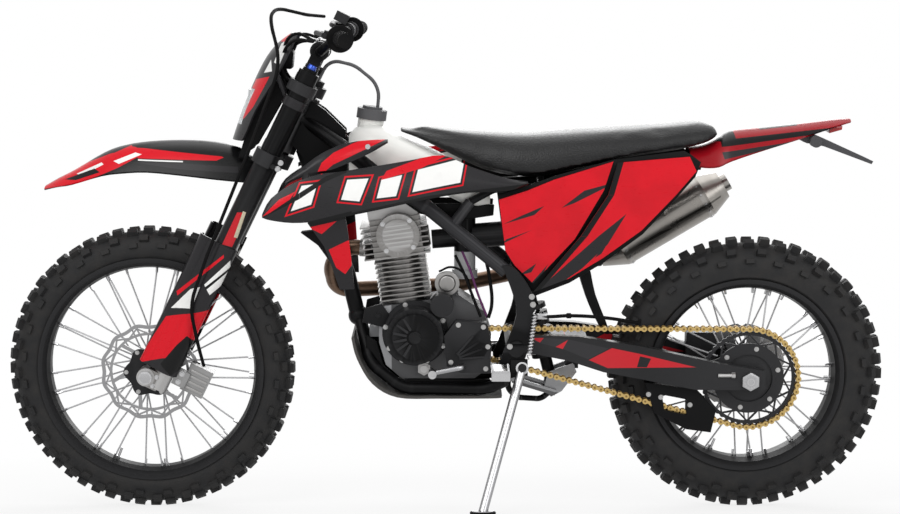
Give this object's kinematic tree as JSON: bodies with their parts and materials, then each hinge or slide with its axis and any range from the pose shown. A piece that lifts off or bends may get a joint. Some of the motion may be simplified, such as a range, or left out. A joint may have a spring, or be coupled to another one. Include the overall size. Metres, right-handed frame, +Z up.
{
  "type": "enduro motorcycle",
  "caption": "Off-road motorcycle with knobbly tyres, wire wheels, air-cooled engine, long flat seat and red panels, leaning on its side stand.",
  "frame": {"origin": "middle of the leaned machine's bounding box, on the ground", "axes": "+Z up, -X towards the front wheel, -Y towards the rider's left, which is the side it leans to"},
  "size_m": [2.1346, 0.8043, 1.2389],
  "materials": {
    "aluminium": "satin",
    "black_alloy": "satin black",
    "black_frame": "satin black paint",
    "black_plastic": "moulded black",
    "cap_grey": "moulded grey",
    "chain_gold": "gold plated",
    "clear": "clear",
    "cover": "grained seat cover",
    "pipe_steel": "heat tinted",
    "red_lens": "red lens",
    "red_plastic": "gloss red with printed stripes",
    "rubber": "moulded",
    "steel": "brushed",
    "tyre": "moulded",
    "white_plastic": "translucent white"
  },
  "bodies": {
    "chassis": {"frame_spars": "black_frame", "frame_cradle": "black_frame", "pivot_plates": "black_frame", "subframe": "black_frame", "crankcase": "aluminium", "engine_covers": "black_alloy", "barrel": "aluminium", "cylinder_head": "black_alloy", "carburettor": "aluminium", "airbox": "black_plastic", "exhaust_pipe": "pipe_steel", "muffler": "steel", "fuel_tank": "white_plastic", "tank_cap": "cap_grey", "shrouds": "red_plastic", "seat": "cover", "side_panels": "red_plastic", "rear_fender": "red_plastic", "tail_light": "red_lens", "skid_plate": "black_plastic", "swingarm": "black_frame", "chain": "chain_gold", "chain_guide": "black_plastic", "drive_sprocket": "steel", "rear_axle": "steel", "rear_caliper": "black_alloy", "shock": "black_alloy", "linkage": "aluminium", "foot_controls": "steel"},
    "steering": {"triple_clamps": "black_alloy", "fork_tubes": "black_alloy", "fork_sliders": "aluminium", "fork_guards": "red_plastic", "front_fender": "red_plastic", "headlight_mask": "red_plastic", "headlight_lens": "clear", "handlebar": "black_alloy", "grips": "rubber", "hand_controls": "black_alloy", "front_caliper": "aluminium", "front_axle": "steel", "brake_hose": "rubber"},
    "front_wheel": {"front_tyre": "tyre", "front_rim": "black_alloy", "front_hub": "black_alloy", "front_disc": "steel"},
    "rear_wheel": {"rear_tyre": "tyre", "rear_rim": "black_alloy", "rear_hub": "black_alloy", "rear_sprocket": "aluminium", "rear_disc": "steel"},
    "side_stand": {"side_stand": "steel", "stand_spring": "steel"}
  },
  "joints": [
    {"name": "steering_turn", "type": "hinge", "parent": "chassis", "child": "steering", "pos_m": [-0.35765, 0.03855, 0.93585], "axis": [0.4462, -0.1631, 0.8799], "range_deg": [-42, 42]},
    {"name": "front_wheel_spin", "type": "hinge", "parent": "steering", "child": "front_wheel", "pos_m": [-0.721, 0.14808, 0.34489], "axis": [0, 0.9833, 0.1822], "continuous": true},
    {"name": "rear_wheel_spin", "type": "hinge", "parent": "chassis", "child": "rear_wheel", "pos_m": [0.734, 0.15041, 0.3323], "axis": [0, 0.9833, 0.1822], "continuous": true},
    {"name": "stand_fold", "type": "hinge", "parent": "chassis", "child": "side_stand", "pos_m": [0.182, -0.00616, 0.34299], "axis": [0, -0.988, 0.1547], "range_deg": [0, 103], "deforming": ["stand_spring"]}
  ]
}
